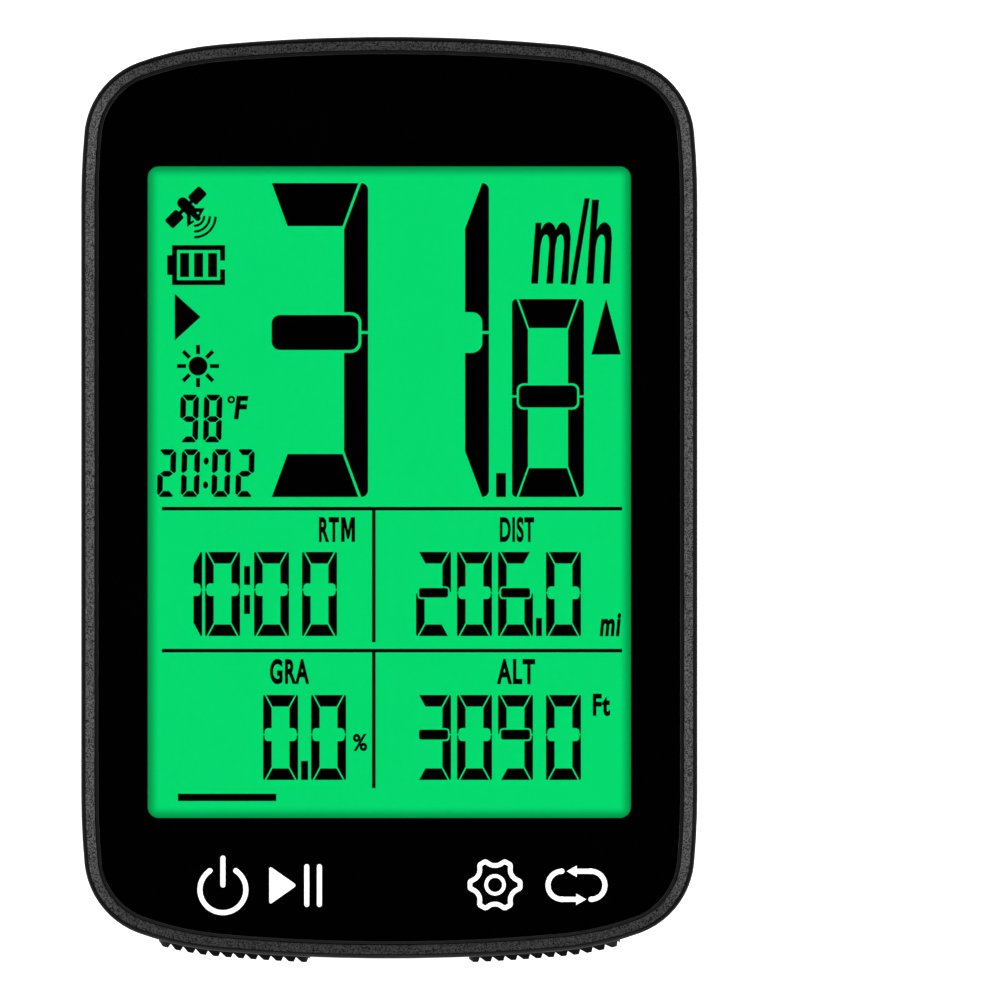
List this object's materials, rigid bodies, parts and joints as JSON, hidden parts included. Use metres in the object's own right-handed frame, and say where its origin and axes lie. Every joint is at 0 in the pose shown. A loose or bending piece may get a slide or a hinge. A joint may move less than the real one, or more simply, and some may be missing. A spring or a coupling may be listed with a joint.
{
  "type": "cycling computer",
  "caption": "Handheld-size cycling computer with a large reflective display, ribbed end buttons, covered charging port and quarter-turn handlebar mount with pad and rubber bands.",
  "frame": {"origin": "middle of the rubber pad's underside, which is the middle of the object's base", "axes": "+X to the rider's right across the display, +Y to the top of the display, +Z out through the lens"},
  "size_m": [0.056, 0.0842, 0.0278],
  "materials": {
    "case_plastic": "sandblasted black plastic",
    "seal_rubber": "soft black silicone",
    "dark_steel": "blackened steel",
    "bright_steel": "bright steel",
    "clear_lens": "polished clear",
    "black_bond": "black printed bond",
    "lcd_glass": "green lit display",
    "white_film": "white film",
    "clear_acrylic": "clear acrylic",
    "led_white": "white",
    "circuit_board": "green solder mask",
    "grey_plastic": "grey moulding",
    "amber_film": "amber polyimide film",
    "ivory_plastic": "ivory moulding",
    "tin_plate": "tinned sheet",
    "chip_black": "moulded epoxy",
    "aerial_ceramic": "unglazed ceramic",
    "foil_pouch": "satin foil",
    "foam_tape": "white foam",
    "lead_red": "insulated wire",
    "button_rubber": "ribbed satin black",
    "mount_plastic": "satin black nylon",
    "pad_rubber": "matt black rubber",
    "band_rubber": "smooth black rubber"
  },
  "bodies": {
    "bar_mount": {"mount_base": "mount_plastic", "mount_pad": "pad_rubber", "rubber_band_lower": "band_rubber", "rubber_band_upper": "band_rubber"},
    "computer": {"front_case": "case_plastic", "back_case": "case_plastic", "case_seal": "seal_rubber", "case_screws": "dark_steel", "front_lens": "clear_lens", "lens_bond": "black_bond", "lcd_panel": "lcd_glass", "backlight_diffuser": "white_film", "backlight_guide": "clear_acrylic", "backlight_reflector": "white_film", "backlight_leds": "led_white", "led_strip": "circuit_board", "lcd_frame": "grey_plastic", "lcd_flex": "amber_film", "flex_connector": "ivory_plastic", "main_board": "circuit_board", "board_screws": "bright_steel", "shield_can": "tin_plate", "processor": "chip_black", "board_chips": "chip_black", "satellite_aerial": "aerial_ceramic", "pressure_sensor": "tin_plate", "vent_membrane": "white_film", "buzzer": "chip_black", "battery": "foil_pouch", "battery_tape": "foam_tape", "battery_socket": "ivory_plastic", "battery_leads": "lead_red", "usb_port": "tin_plate", "cover_pin": "bright_steel", "start_switch": "chip_black", "menu_switch": "chip_black", "quarter_turn_boss": "mount_plastic", "boss_screws": "dark_steel"},
    "start_button": {"start_button": "button_rubber", "start_button_gasket": "seal_rubber", "start_switch_plunger": "ivory_plastic"},
    "menu_button": {"menu_button": "button_rubber", "menu_button_gasket": "seal_rubber", "menu_switch_plunger": "ivory_plastic"},
    "usb_cover": {"usb_cover": "seal_rubber"}
  },
  "joints": [
    {"name": "mount_twist", "type": "hinge", "parent": "bar_mount", "child": "computer", "pos_m": [0, 0, 0.0062], "axis": [0, 0, 1], "range_deg": [0, 90]},
    {"name": "start_press", "type": "slide", "parent": "computer", "child": "start_button", "axis": [0, 1, 0], "range_m": [0, 0.0004], "stiffness_N_per_m": 3000, "springref_m": -0.0003},
    {"name": "menu_press", "type": "slide", "parent": "computer", "child": "menu_button", "axis": [0, 1, 0], "range_m": [0, 0.0004], "stiffness_N_per_m": 3000, "springref_m": -0.0003},
    {"name": "port_cover_swing", "type": "hinge", "parent": "computer", "child": "usb_cover", "pos_m": [0, -0.04113, 0.01507], "axis": [1, 0, 0], "range_deg": [0, 90]}
  ]
}
